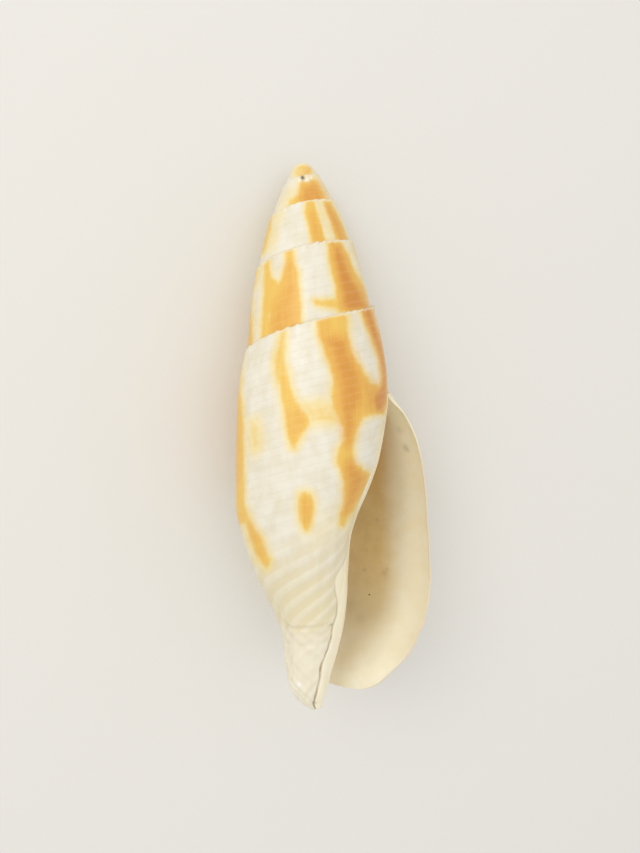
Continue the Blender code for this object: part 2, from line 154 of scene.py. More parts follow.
suture = curve(list(zip(TURNS, SUTURE_D)))
shoulder_r = curve(list(zip(TURNS, SHOULDER_R)))
below_r = curve(list(zip(TURNS, BELOW_R)))
lower_edge = curve(LOWER_EDGE)
hollow_end = curve(HOLLOW_END)
tip_rim = curve(TIP_RIM)
lip_theta = curve(LIP)
axis_x = curve(AXIS)


def blended(stations, values, theta):
    """Values worked out at each station, joined smoothly at the thetas asked for."""
    t_at = np.array(stations, float)
    vals = np.array(values)
    m = np.zeros_like(vals)
    last = len(t_at) - 1
    for q in range(len(t_at)):
        if q in (0, last):
            a = max(q - 1, 0)
            m[q] = (vals[a + 1] - vals[a]) / (t_at[a + 1] - t_at[a])
        else:
            a, b = t_at[q] - t_at[q - 1], t_at[q + 1] - t_at[q]
            m[q] = ((vals[q + 1] - vals[q]) / b * a + (vals[q] - vals[q - 1]) / a * b) / (a + b)
    k = np.clip(np.searchsorted(t_at, theta) - 1, 0, last - 1)
    h = t_at[k + 1] - t_at[k]
    t = (theta - t_at[k]) / h

    def pick(table, index):
        flat = table.reshape(len(t_at), -1)
        return np.take_along_axis(flat, index.reshape(1, -1), 0).reshape(theta.shape)

    y0, y1, m0, m1 = pick(vals, k), pick(vals, k + 1), pick(m, k), pick(m, k + 1)
    return ((1 + 2 * t) * (1 - t) ** 2 * y0 + t * (1 - t) ** 2 * h * m0
            + t * t * (3 - 2 * t) * y1 + t * t * (t - 1) * h * m1)


OUT_AT = sorted(OUTSIDE)
OUT_CURVES = [curve(OUTSIDE[t]) for t in OUT_AT]
IN_AT = sorted(INSIDE)
IN_CURVES = [curve(INSIDE[t]) for t in IN_AT]


def body_r(theta, d):
    """Outside radius of the last whorl, theta -1 to 0."""
    theta, d = np.broadcast_arrays(np.asarray(theta, float), np.asarray(d, float))
    share = (d - suture(theta)) / (STUMP_END - suture(theta))
    values = []
    for t, section in zip(OUT_AT, OUT_CURVES):
        top = float(suture(t))
        values.append(section(top + share * (STUMP_END - top)))
    return blended(OUT_AT, values, theta)


def spire_r(theta, d):
    """Outside radius of an upper whorl, between its suture and the next."""
    w = np.clip((d - suture(theta)) / (suture(theta + 1) - suture(theta)), 0, 1.2)
    upper, lower = shoulder_r(theta), below_r(theta)
    swell = 0.02 * lower * np.clip((theta + 4.5) / 1.5, 0, 1)
    dome = 0.55 + 0.45 * ease(-5, -4.1, theta)
    return upper + (lower - upper) * w**dome + swell * 4 * w * (1 - w)


def outer_r(theta, d):
    theta, d = np.broadcast_arrays(np.asarray(theta, float), np.asarray(d, float))
    k = ease(-1.3, -1.0, theta)
    s0, s1 = float(suture(-1.0)), float(suture(0.0))
    w = (d - suture(theta)) / (suture(np.minimum(theta, -1) + 1) - suture(np.minimum(theta, -1)))
    d_body = np.where(theta < -1, s0 + w * (s1 - s0), d)
    return spire_r(theta, d) * (1 - k) + body_r(np.clip(theta, -1, 0.02), d_body) * k


def inner_r(theta, d):
    """Radius of the wall nearest the axis inside the hollow; theta 0 at the lip."""
    theta, d = np.broadcast_arrays(np.asarray(theta, float), np.asarray(d, float))
    values = [section(d) for section in IN_CURVES] + [body_r(np.full(theta.shape, -1.0), d)]
    r = blended(IN_AT + [0.0], values, theta)
    top = suture(theta)
    v = (d - top) / (hollow_end(np.minimum(theta, -0.375)) - top)
    fold = np.zeros(theta.shape)
    for q in range(4):
        at = 0.42 + q * FOLD_PITCH - 0.10 * theta
        fold = fold + (1 - 0.16 * q) * np.exp(-(((v - at) / 0.026) ** 2))
    return r + FOLD_HEIGHT * fold * ease(-0.03, -0.14, theta) * ease(3.2, 5.0, r + 1.2)


def place(theta, d, r):
    a = 2 * np.pi * theta
    return np.stack([axis_x(d) + r * np.cos(a), d, r * np.sin(a)], -1)



# ---------------------------------------------------------------- fine detail
COLUMNS = 208
ROWS_WHORL = 30
ROWS_BODY = 160
RIM_STEPS = 6
RNG = np.random.default_rng(11)


def waves(x, seed, count=7, low=0.6, high=3.0):
    """Smooth irregular values in about -1..1 along x."""
    rng = np.random.default_rng(seed)
    f = rng.uniform(low, high, count)
    p = rng.uniform(0, 2 * np.pi, count)
    a = rng.uniform(0.5, 1.0, count)
    y = sum(a[k] * np.sin(f[k] * np.asarray(x, float) + p[k]) for k in range(count))
    return y / np.sqrt((a**2).sum() / 2) * 0.5


# scallops along the suture, about 1.4 mm apart wherever they are on the spire
_t = np.linspace(-5, 0.02, 6000)
_run = np.concatenate([[0], np.cumsum(2 * np.pi * (shoulder_r(_t[:-1]) + 0.3) * np.diff(_t))])


def scallop(theta):
    run = np.interp(theta, _t, _run)
    a = 2 * np.pi * (run / 1.45 + 0.35 * waves(run, 3, low=0.3, high=1.4))
    size = 0.55 + 0.45 * waves(run, 5, low=0.1, high=0.8)
    return size * (np.cos(a) + 0.25 * np.cos(2 * a + 1.0))


# spiral lines: level lines of one field, finer above and opening out toward the base
_d = np.linspace(0, 95, 2000)
_slope = np.interp(_d, [0, 10, 24, 50, 56, 60, 64, 68, 72, 76, 82, 95],
                   [5.5, 8.0, 13.2, 15.2, 18.5, 27.5, 33.0, 35.5, 37.0, 38.0, 38.0, 38.0])
_inv = np.concatenate([[0], np.cumsum(np.diff(_d) / ((_slope[1:] + _slope[:-1]) / 2))])


def spiral_line(theta, d):
    """Counts spiral lines; whole numbers are the grooves above and the cords below."""
    body = (np.interp(d, _d, _inv) - theta) / 0.085
    w = (d - suture(theta)) / np.maximum(suture(np.minimum(theta + 1, 0)) - suture(theta), 1e-3)
    spire = 7.0 * w + 3.3 * (np.interp(suture(theta), _d, _inv) - theta)
    k = ease(-1.06, -0.98, theta)
    return spire * (1 - k) + body * k


# the callus's edge, from the lip's upper end down the columella, in view coordinates
CALLUS = [(388, 400), (386, 410), (384, 422), (381.5, 431), (377.5, 446), (373.5, 462), (366, 480),
          (361.5, 493), (356, 506), (351.5, 523), (348.5, 540), (347, 553), (344.5, 562),
          (338.5, 569), (335.2, 578), (335, 590), (337.2, 600), (337.3, 613), (333.8, 623.8),
          (331.6, 630), (332.2, 636), (330.4, 644), (327.5, 650), (323.4, 660), (321, 670.5),
          (320, 681), (318.6, 688), (316.3, 696), (314, 705)]
CREASE = [(281, 617), (286, 623.5), (292, 627.5), (300, 628), (312, 627.2), (324, 626.5), (331, 624)]
CREASE_2 = [(286, 641), (294, 645.5), (306, 646), (318, 644), (327, 641)]


def view_of(p):
    """Where a point of the growth frame shows in the photograph's frame."""
    s = 670.0 / (110.6 - p[..., 2])
    u = 320 + s * (-2.64 + 0.0632 * p[..., 1] + 0.998 * p[..., 0])
    v = 426.5 - s * (43.5 - 0.998 * p[..., 1] + 0.0632 * p[..., 0])
    return u, v


_ct = np.linspace(-5, 0, 1501)[:, None]
_cv = np.linspace(0, 1, 301)[None, :]
_cd = suture(_ct) + _cv * (np.where(_ct < -1, suture(np.minimum(_ct, -1) + 1), STUMP_END) - suture(_ct))
_cth = np.broadcast_to(_ct, _cd.shape)
_cp = place(_cth, _cd, outer_r(_cth, _cd))
_cu, _cw = view_of(_cp)
_seen = _cp[..., 2] > 0.5
_su, _sv, _sth, _sd, _sr = (_cu[_seen], _cw[_seen], _cth[_seen], _cd[_seen],
                            outer_r(_cth, _cd)[_seen])


def on_shell(u, v):
    """The theta and depth of the shell's outside seen at a place in view coordinates."""
    k = int(np.argmin((_su - u) ** 2 + (_sv - v) ** 2))
    return float(_sth[k]), float(_sd[k]), float(_sr[k])


_callus = [on_shell(u, v) for u, v in CALLUS]
_callus = sorted((d, th) for th, d, _ in _callus)
_cd1 = np.array([d for d, _ in _callus])
_ct1 = np.array([th for _, th in _callus])
_at = np.linspace(_cd1[0], _cd1[-1], 120)
_wide = np.interp(_at, [38, 60, 66, 90], [2.2, 1.6, 0.7, 0.7])
_even = np.exp(-(((_at[:, None] - _at[None, :]) / _wide[:, None]) ** 2))
_even = _even @ np.interp(_at, _cd1, _ct1) / _even.sum(1)


def callus_theta(d):
    return np.interp(d, _at, _even)


def chain_gap(chain, theta, d, r):
    """Distance in mm over the surface to a chain of (theta, d), and how far along it."""
    best = np.full(np.shape(theta), 1e9)
    for (t0, d0), (t1, d1) in zip(chain, chain[1:]):
        k = 2 * np.pi * r
        ax, ay = (theta - t0) * k, d - d0
        bx, by = (t1 - t0) * k, d1 - d0
        h = np.clip((ax * bx + ay * by) / (bx * bx + by * by + 1e-9), 0, 1)
        best = np.minimum(best, np.hypot(ax - h * bx, ay - h * by))
    return best


_crease = [on_shell(u, v)[:2] for u, v in CREASE]
_crease2 = [on_shell(u, v)[:2] for u, v in CREASE_2]
_pit = on_shell(303.3, 178.5)
_break = on_shell(303.3, 321.5)


def callus_side(theta, d, r):
    """Signed distance in mm from the callus's edge, positive on the callus."""
    slim = np.interp(d, [38, 50, 60, 67], [0.7, 0.95, 0.75, 0.0])
    return (callus_theta(d) - theta) * 2 * np.pi * np.maximum(r, 2.5) - slim


def relief(theta, d, r):
    """Height in mm to add to the outside at these places."""
    h = np.zeros(np.shape(theta))
    # slow unevenness of growth
    h += 0.07 * waves(theta * 2 * np.pi * 3 + d * 0.10, 21) * ease(2, 12, d)
    h += 0.05 * waves(theta * 2 * np.pi * 9 - d * 0.05, 22) * ease(8, 24, d)
    down = d - suture(theta)
    # scallops under each suture
    near = np.exp(-((down / 0.55) ** 2))
    size = ease(3, 11, d)
    h += 0.12 * scallop(theta) * near * size
    # a shallow thread below them
    h -= 0.05 * np.exp(-(((down - 1.15) / 0.28) ** 2)) * size
    side = callus_side(theta, d, r)
    bare = ease(-0.35, 0.35, side) * ease(-1.35, -1.2, theta) * (theta < -0.6) * ease(38.7, 40.2, d)
    line = spiral_line(theta, d)
    saw = np.abs(line - np.round(line))
    cord = np.exp(-((saw / 0.145) ** 2))
    base = ease(50, 61, d) * (theta > -1.02)
    fade = 1 - ease(73.0, 77.5, d)
    h += 0.028 * waves(theta * 2 * np.pi * 30 + d * 0.25, 27, count=11) * base * fade * (1 - bare)
    lip_fade = 1 - ease(-0.2, -0.04, theta)
    cord *= base * fade * (1 - bare) * lip_fade
    h += np.interp(d, [60, 70], [0.13, 0.18]) * cord * (1 + 0.3 * waves(theta * 2 * np.pi * 7 + d * 0.3, 25))
    groove = np.exp(-((saw / 0.16) ** 2))
    h -= 0.030 * groove * (1 - base) * (1 - bare) * ease(3, 10, d) * lip_fade
    # callus: a smooth raised sheet whose edge is a crevice lower down
    thick = np.interp(d, [38, 60, 64, 66, 70, 85, 90], [0.03, 0.03, 0.06, 0.15, 0.12, 0.16, 0.10])
    h += thick * bare * ease(0, 0.8, side + 0.4)
    crack = np.exp(-(((side + 0.10) / 0.17) ** 2)) * ease(72.0, 75.5, d) * (theta < -0.6)
    h -= 0.28 * crack
    # folds across the blunt tip
    stump = ease(74, 76.5, d) * (theta > -1.3) * (1 - bare)
    a = chain_gap(_crease, theta, d, np.maximum(r, 2.5))
    b = chain_gap(_crease2, theta, d, np.maximum(r, 2.5))
    folds = ease(71, 72.5, d) * (theta > -1.3) * (theta < -0.4) * (1 - bare)
    h += folds * (0.14 * np.exp(-(((a - 0.5) / 0.35) ** 2)) - 0.30 * np.exp(-((a / 0.26) ** 2)))
    h -= folds * 0.20 * np.exp(-((b / 0.28) ** 2))
    tilt = d * 0.85 + theta * 2 * np.pi * 3.2
    h += stump * 0.14 * waves(tilt * 2.2, 31, low=0.7, high=2.2) * ease(89.6, 87, d)
    rough_tilt = d * 0.55 - theta * 2 * np.pi * 2.2
    h += stump * 0.11 * waves(rough_tilt * 2.6, 33, low=0.8, high=2.6) * ease(89.6, 86, d)
    # a chipped pit near the apex and a small break in the last suture
    k = 2 * np.pi * np.maximum(r, 1.0)
    pit = np.hypot((theta - _pit[0]) * k, d - _pit[1])
    h -= 0.50 * np.exp(-((pit / 0.40) ** 2))
    h += 0.07 * np.exp(-(((pit - 0.85) / 0.3) ** 2))
    gap = np.hypot((theta - _break[0]) * k, (d - _break[1]) * 1.3)
    h -= 0.16 * np.exp(-((gap / 0.45) ** 2))
    return h


# ---------------------------------------------------------------- the surface
def shell_surface(columns, rows_whorl, rows_body, rim_steps):
    """Points, faces and what each point is: kind, theta, depth, distance in from the lip.

    Kind is 0 on the outside, 1 on the wall nearest the axis in the hollow, 2 on the
    underside of the outer wall and 3 on the lip's rounded edge.
    """
    points, faces, facts = [], [], []

    def add(p, kind, theta, d, deep=0.0):
        start = sum(len(q) for q in points)
        shape = p.shape[:-1]
        points.append(p.reshape(-1, 3))
        facts.append(np.stack([np.broadcast_to(np.asarray(x, float), shape).ravel()
                               for x in (kind, theta, d, deep)], 1))
        return start + np.arange(int(np.prod(shape))).reshape(shape)

    def so_far(index):
        return np.concatenate(points)[index]

    def outside_points(th, d, r):
        # the upper edge of each whorl is scalloped along the axis too
        down = d - suture(th)
        lift = 0.13 * scallop(th) * np.exp(-((down / 0.5) ** 2)) * ease(3.5, 11, d) * (th > -4.4)
        return place(th, d - lift, r + relief(th, d, r))

    # upper whorls, and the last whorl down to its lower edge
    spire_columns = 4 * columns
    theta = -5 + np.arange(spire_columns + 1) / columns
    v = np.linspace(0, 1, rows_whorl + 1)
    v = 0.75 * v + 0.25 * v**1.8
    d = suture(theta)[:, None] + v * (suture(theta + 1) - suture(theta))[:, None]
    th = np.repeat(theta[:, None], rows_whorl + 1, 1)
    spire = add(outside_points(th, d, outer_r(th, d))[:-1], 0, th[:-1], d[:-1])

    s0, s1 = float(suture(-1.0)), float(suture(0.0))
    covered = (s1 - s0) / (float(lower_edge(-1.0)) - s0)
    rows = np.concatenate([
        covered * v,
        covered + (1 - covered) * np.linspace(0, 1, rows_body - rows_whorl + 1)[1:],
    ])
    lip = lip_theta(rows)

    def toward_lip(t):
        plain = np.repeat(t[:, None], rows_body + 1, 1)
        share = np.clip((t + 0.3) / 0.3, 0, 1)[:, None]
        return np.where(share > 0, -0.3 + share * (lip + 0.3), plain)

    th = toward_lip(-1 + np.arange(columns + 1) / columns)
    d = suture(th) + rows * (lower_edge(th) - suture(th))
    body = add(outside_points(th, d, body_r(th, d)), 0, th, d)

    def column(j):
        return spire[j] if j < spire_columns else body[j - spire_columns]

    for j in range(spire_columns + columns):
        a, b = column(j), column(j + 1)
        for i in range(rows_whorl if j < spire_columns else rows_body):
            faces.append((a[i], a[i + 1], b[i + 1], b[i]))
    for j in range(spire_columns):  # the step at the suture
        a, b, c, e = column(j), column(j + 1), column(j + columns), column(j + columns + 1)
        faces.append((a[rows_whorl], c[0], e[0], b[rows_whorl]))
    apex = spire[0, 0]
    ring = [spire[j, 0] for j in range(1, columns + 1)]
    ring += [spire[0, i] for i in range(rows_whorl, 0, -1)]
    for k in range(len(ring) - 1):
        faces.append((ring[k], ring[k + 1], apex))

    # the hollow: wall nearest the axis
    mouth = int(round(-NOTCH * columns))
    depth = 30
    back = np.concatenate([
        -np.arange(mouth + 1) / columns,
        NOTCH - (NOTCH - HOLLOW_DEPTH) * (np.arange(1, depth + 1) / depth) ** 1.35,
    ])
    top = suture(back) + 1.3 * ease(0, -0.06, back)
    end = np.where(back >= NOTCH, tip_rim(np.maximum(back - 1, NOTCH - 1)),
                   hollow_end(np.minimum(back, NOTCH)))
    w = (rows[rows_whorl:] - covered) / (1 - covered)
    d = top[:, None] + w * (end - top)[:, None]
    th = np.repeat(back[:, None], len(w), 1)
    r = inner_r(th, d)
    # the outside's callus runs on round the corner and thins out further in
    h = relief(th - 1, d, r) * ease(-0.14, 0.0, th)
    near = add(place(th, d, r + h)[1:], 1, th[1:], d[1:], -th[1:] * 2 * np.pi * 9)

    def inner(k):
        return body[0, rows_whorl:] if k == 0 else near[k - 1]

    for k in range(len(back) - 1):
        a, b = inner(k), inner(k + 1)
        for i in range(len(w) - 1):
            faces.append((b[i], b[i + 1], a[i + 1], a[i]))

    # the hollow: underside of the outer wall
    th = toward_lip(back)
    end = np.where(th >= NOTCH, lower_edge(th), hollow_end(np.minimum(th, NOTCH)))
    top = suture(th) + 1.3 * ease(0, -0.06, th) + 0.25
    d = top + rows * (end - top)
    t_body = np.maximum(th, -1)
    outside = np.where(th < -1, outer_r(th, d), body_r(t_body, d))
    slope = (body_r(t_body, d + 0.05) - body_r(t_body, d - 0.05)) / 0.1
    axis_wall = inner_r(np.clip(th, HOLLOW_DEPTH, 0), d)
    wall = WALL + 0.05 * waves(th * 20 + d * 0.12, 41)
    to_edge = np.minimum((lip - th) * 2 * np.pi * 15, np.where(th >= NOTCH, 1.3 * (end - d), 99))
    wall = wall * (0.24 + 0.76 * ease(-0.5, 5.0, to_edge))
    full = np.maximum(outside - wall * np.sqrt(1 + slope**2), axis_wall + 0.02)
    vault = np.sqrt(np.maximum(1 - (1 - np.clip((d - top) / 3.2, 0, 1)) ** 2, 0))
    floor = np.sqrt(np.maximum(1 - (1 - np.clip((end - d) / 4.0, 0, 1)) ** 2, 0))
    floor = np.where(th < NOTCH, floor, 1.0)
    deep = np.minimum((lip - th) * 2 * np.pi * 15, 60)
    far = add(place(th, d, axis_wall + (full - axis_wall) * vault * floor), 2, th, d, deep)
    for k in range(mouth, len(back)):
        far[k, -1] = inner(k)[-1]
    for k in range(len(back) - 1):
        for i in range(rows_body):
            faces.append((far[k, i], far[k, i + 1], far[k + 1, i + 1], far[k + 1, i]))
        faces.append((inner(k)[0], far[k, 0], far[k + 1, 0], inner(k + 1)[0]))
    ring = list(far[-1]) + list(inner(len(back) - 1)[::-1][1:])
    centre = add(so_far(ring).mean(0)[None, :], 2, HOLLOW_DEPTH, 40.0, 60.0)[0]
    for k in range(len(ring)):
        faces.append((ring[k], ring[(k + 1) % len(ring)], centre))

    # the rounded edge of the lip and of the notch
    last = int(round((1 + NOTCH) * columns))
    below = range(columns - 1, last - 1, -1)
    edge = [body[columns, i] for i in range(rows_body + 1)] + [body[j, rows_body] for j in below]
    behind = [body[columns - 1, i] for i in range(rows_body + 1)]
    behind += [body[j, rows_body - 1] for j in below]
    under = [far[0, i] for i in range(rows_body + 1)] + [far[k, -1] for k in range(1, mouth + 1)]
    p0, p1 = so_far(edge), so_far(under)
    out = p0 - so_far(behind)
    out /= np.linalg.norm(out, axis=1)[:, None]
    for _ in range(20):
        mix = out.copy()
        mix[1:-1] = out[:-2] + 2 * out[1:-1] + out[2:]
        out = mix / np.linalg.norm(mix, axis=1)[:, None]
    n = len(edge)
    step = np.arange(n)
    ends = np.minimum(1, np.minimum(step, n - 1 - step) / 12)
    bulge = 0.5 * np.linalg.norm(p0 - p1, axis=1) * ends
    chain = [np.array(edge)]
    for q in range(1, rim_steps):
        a = math.pi * q / rim_steps
        c = (1 - math.cos(a)) / 2
        p = p0 * (1 - c) + p1 * c + out * (bulge * math.sin(a))[:, None]
        chain.append(add(p, 3, 0.0, p[:, 1]))
    chain.append(np.array(under))
    for a, b in zip(chain, chain[1:]):
        for k in range(n - 1):
            faces.append((a[k], a[k + 1], b[k + 1], b[k]))
    faces.append((body[0, rows_whorl], *[c[0] for c in chain]))

    # the columella's blunt tip
    ring = [body[j, rows_body] for j in range(last + 1)] + [c[-1] for c in chain[1:]]
    ring += [inner(k)[-1] for k in range(mouth - 1, 0, -1)]
    base = so_far(ring)
    tip = np.array([float(axis_x(STUMP_END)), STUMP_END, 0.0])
    outer = np.array(ring)
    for share in (0.85, 0.68, 0.5, 0.32, 0.15):
        p = tip + (base - tip) * share
        p[:, 1] = STUMP_END - (STUMP_END - base[:, 1]) * share**2
        ring = add(p, 0, -1.0, p[:, 1])
        for k in range(len(ring)):
            j = (k + 1) % len(ring)
            faces.append((outer[k], ring[k], ring[j], outer[j]))
        outer = ring
    end = add(tip[None, :], 0, -1.0, STUMP_END)[0]
    for k in range(len(outer)):
        faces.append((outer[k], end, outer[(k + 1) % len(outer)]))
    return np.concatenate(points), faces, np.concatenate(facts)


def resting(points):
    """From the growth frame to the resting frame, in millimetres."""
    p = points * np.array([1.0, -1.0, 1.0])
    up = -np.array(DOWN) / np.linalg.norm(DOWN)
    ahead = np.array([0.0, 1.0, 0.0]) - up[1] * up
    ahead /= np.linalg.norm(ahead)
    return p @ np.stack([np.cross(ahead, up), ahead, up], 1)



# ---------------------------------------------------------------- flame markings
# each shape: whorl (0 is the last), how strong, softness of its edge, its outline in
# view coordinates; GOLD is the yellow ground of the flames, RUST their orange heart
GOLD = [
    (-4, 0.75, 3, [(292, 176), (293, 168), (298, 164), (306, 163), (313, 167), (314, 172), (311, 178), (300, 180)]),
    (-3, 0.9, 5, [(299, 180), (316, 176), (322, 184), (326, 192), (331, 204), (285, 210), (288, 199), (295, 193)]),
    (-3, 0.4, 5, [(278, 212), (282, 198), (290, 186), (300, 180), (299, 195), (288, 206)]),
    (-2, 0.95, 3, [(305, 200), (315, 200), (319, 214), (324, 229), (327, 243), (311, 244), (307, 226), (303, 212)]),
    (-2, 0.95, 3, [(321, 200), (331, 200), (339, 214), (346, 230), (350, 243), (336, 243), (331, 227), (325, 213)]),
    (-2, 0.42, 4, [(312, 200), (326, 200), (337, 222), (342, 243), (318, 243)]),
    (-2, 0.95, 4, [(266, 216), (275, 212), (272, 232), (266, 254), (258, 258)]),
    (-2, 0.5, 5, [(280, 204), (286, 204), (279, 228), (275, 250), (264, 256), (269, 236)]),
    (-1, 0.95, 4, [(283, 248), (294, 246), (296, 262), (300, 273), (301, 290), (303, 306), (303, 325), (286, 334),
                   (266, 342), (263, 330), (267, 316), (268, 300), (271, 288), (279, 279), (284, 264)]),
    (-1, 0.9, 3.5, [(262, 264), (270, 256), (273, 276), (281, 283), (278, 300), (271, 318), (268, 345), (259, 345),
                  (260, 318), (262, 290)]),
    (-1, 0.98, 4, [(326, 240), (341, 240), (350, 254), (354, 266), (362, 280), (368, 291), (371, 312), (338, 314),
                   (334, 302), (334, 289), (330, 274), (327, 258)]),
    (-1, 0.85, 3.5, [(311, 298), (322, 298), (336, 296), (343, 303), (338, 311), (326, 309), (314, 307)]),
    (-1, 0.75, 3, [(350, 241), (356, 241), (364, 262), (371, 284), (367, 284), (360, 266), (354, 253)]),
    (-1, 1.0, 3.5, [(246, 286), (253, 284), (253, 310), (254, 330), (254, 352), (242, 356)]),
    (-1, 0.7, 3, [(252, 262), (262, 256), (261, 274), (256, 292), (250, 292)]),
    (-1, 0.3, 5, [(253, 316), (262, 313), (262, 334), (253, 340)]),
    (0, 0.78, 4.5, [(278, 330), (288, 328), (288, 345), (288, 361), (291, 372), (292, 386), (276, 388), (272, 374),
                    (271, 362), (275, 346)]),
    (0, 0.95, 5, [(276, 372), (290, 372), (292, 385), (297, 396), (302, 406), (311, 415), (312, 424), (306, 433),
                  (301, 442), (296, 451), (289, 450), (286, 437), (283, 424), (282, 410), (279, 398)]),
    (0, 0.97, 5, [(314, 318), (328, 314), (340, 312), (349, 314), (350, 334), (353, 348), (358, 359), (365, 370),
                  (372, 381), (381, 384), (390, 380), (390, 404), (384, 414), (373, 417), (364, 420), (359, 430),
                  (356, 441), (355, 450), (356, 461), (364, 468), (373, 473), (366, 492), (357, 508), (350, 519),
                  (345, 529), (337, 527), (339, 512), (342, 500), (342, 484), (339, 472), (334, 462), (336, 449),
                  (342, 439), (342, 429), (337, 421), (331, 410), (330, 396), (331, 380), (329, 368), (324, 357),
                  (320, 346), (316, 334)]),
    (0, 0.66, 7, [(296, 402), (316, 399), (338, 397), (344, 427), (326, 427), (306, 427)]),
    (0, 0.97, 4, [(356, 306), (372, 306), (378, 325), (384, 345), (389, 365), (390, 402), (386, 416), (374, 416),
                  (369, 404), (370, 392), (378, 387), (380, 378), (378, 362), (372, 344), (365, 327)]),
    (0, 0.5, 3.5, [(384, 414), (389, 414), (388, 436), (383, 456), (379, 466), (377, 456), (380, 438)]),
    (0, 0.92, 5, [(298, 492), (304, 489), (312, 491), (316, 500), (316, 512), (314, 524), (309, 533), (302, 533),
                  (298, 522), (296, 508)]),
    (0, 0.66, 6, [(249, 417), (259, 417), (263, 434), (262, 449), (255, 457), (249, 450), (247, 432)]),
    (0, 1.0, 4, [(232, 356), (243.5, 356), (241.5, 388), (243.5, 405), (245, 425), (245.5, 450), (245.5, 480), (246, 505), (251, 522),
                  (236, 528), (230, 470)]),
    (0, 0.9, 5, [(240, 496), (248, 506), (252, 518), (258, 529), (265, 538), (268, 550), (273, 559), (271, 568),
                 (265, 572), (258, 564), (251, 550), (246, 537), (241, 520)]),
    (0, 0.22, 12, [(300, 520), (350, 500), (356, 512), (346, 540), (310, 548)]),
]
RUST = [
    (-4, 0.4, 3, [(303, 170), (310, 167), (312, 174), (306, 177), (300, 177)]),
    (-3, 0.75, 5, [(302, 186), (311, 182), (318, 184), (323, 192), (328, 203), (304, 205), (299, 198)]),
    (-2, 0.45, 3.5, [(309, 214), (314, 212), (319, 224), (323, 243), (314, 243)]),
    (-2, 0.7, 3, [(325, 204), (330, 206), (338, 220), (344, 236), (346, 243), (340, 243), (334, 228)]),
    (-1, 0.5, 5, [(286, 262), (293, 262), (297, 290), (299, 326), (275, 336), (270, 320), (276, 300), (284, 286)]),
    (-1, 0.95, 4.5, [(333, 244), (340, 246), (347, 262), (353, 278), (362, 292), (367, 308), (350, 312), (342, 306),
                     (341, 290), (337, 274), (333, 258)]),
    (-1, 0.35, 3, [(352, 243), (356, 244), (363, 262), (369, 281), (366, 280), (359, 263)]),
    (-1, 0.35, 3, [(246, 318), (249, 318), (250, 350), (246, 350)]),
    (0, 0.3, 4, [(288, 412), (302, 410), (306, 420), (300, 433), (292, 438), (288, 426)]),
    (0, 0.8, 6, [(322, 338), (336, 334), (346, 337), (351, 350), (356, 362), (361, 374), (364, 388), (363, 400),
                 (357, 412), (356, 426), (352, 440), (347, 446), (343, 434), (341, 420), (338, 404), (338, 388),
                 (336, 374), (332, 362), (328, 350)]),
    (0, 0.35, 4, [(318, 322), (326, 318), (330, 330), (326, 340), (320, 338)]),
    (0, 0.5, 6, [(362, 374), (374, 384), (388, 386), (388, 402), (378, 412), (364, 410), (360, 392)]),
    (0, 0.75, 5, [(346, 460), (354, 460), (360, 470), (366, 478), (361, 492), (354, 504), (347, 514), (343, 512),
                  (346, 498), (346, 484), (344, 472)]),
    (0, 1.0, 3.5, [(361, 306), (371, 306), (377, 326), (383, 346), (387, 366), (388, 400), (382, 412), (376, 412),
                   (372, 402), (373, 394), (380, 388), (382, 376), (379, 356), (372, 338), (366, 322)]),
    (0, 0.4, 4, [(301, 500), (309, 498), (312, 508), (310, 522), (304, 526), (301, 514)]),
    (0, 0.3, 3, [(232, 410), (238, 410), (239, 440), (239, 480), (233, 490)]),
    (0, 0.3, 4, [(250, 520), (257, 530), (264, 541), (266, 552), (262, 558), (256, 550), (251, 538)]),
]
# the darker tan of the mouth's depth, partly its real tan and partly painted shade where the body shades the hollow,
# and the few specks of dirt in it: (across, down, size)
TAN_AND_SHADE_OUTLINE = [(376, 408), (379, 424), (383, 452), (386, 488), (388, 520), (389, 560), (388, 598), (380, 620), (366, 640),
         (354, 656), (346, 672), (340, 694), (300, 700), (290, 600), (300, 420)]
SPECKS = [(398, 429, 0.7, 0.20), (405.5, 448, 0.6, 0.38), (408, 450, 0.35, 0.3), (377, 521, 0.3, 0.25),
          (364, 569, 0.25, 0.3), (385, 573, 0.5, 0.24), (388, 570, 0.3, 0.2), (361, 618, 1.0, 0.13),
          (350, 604, 1.3, 0.10), (366, 550, 0.25, 0.2)]
DOT = (368.5, 595.0)
# small marks on the outside: across, down, size in mm, dark (1) or pale (-1); the pale ones are chips, the dark ones
# are painted shade in the pit near the apex and dark spots at the ends of the crease and the crevice
CHIPS = [(302.8, 177.8, 0.30, 1), (306.5, 180, 0.42, -1), (300, 180.5, 0.3, -1), (311, 177.5, 0.25, -1), (294, 687, 0.55, -1),
         (299, 684.5, 0.4, -1), (291, 682, 0.3, -1), (331.5, 625, 0.25, 0.35), (315, 703, 0.3, 0.4)]


def outline_gap(outline, u, v):
    """Distance to an outline in view coordinates, negative inside it."""
    best = np.full(np.shape(u), 1e9)
    inside = np.zeros(np.shape(u), bool)
    for (x0, y0), (x1, y1) in zip(outline, outline[1:] + outline[:1]):
        bx, by = x1 - x0, y1 - y0
        h = np.clip(((u - x0) * bx + (v - y0) * by) / (bx * bx + by * by + 1e-9), 0, 1)
        best = np.minimum(best, np.hypot(u - x0 - h * bx, v - y0 - h * by))
        crosses = (y0 > v) != (y1 > v)
        at_x = x0 + (v - y0) * bx / (by if abs(by) > 1e-9 else 1e-9)
        inside ^= crosses & (u < at_x)
    return np.where(inside, -best, best)


def painted(shapes, whorl, u, v):
    amount = np.zeros(np.shape(u))
    for where, strength, soft, outline in shapes:
        on = whorl == where
        gap = outline_gap(outline, u[on], v[on])
        amount[on] = np.maximum(amount[on], strength * ease(soft * 1.5, -soft * 1.5, gap))
    return amount


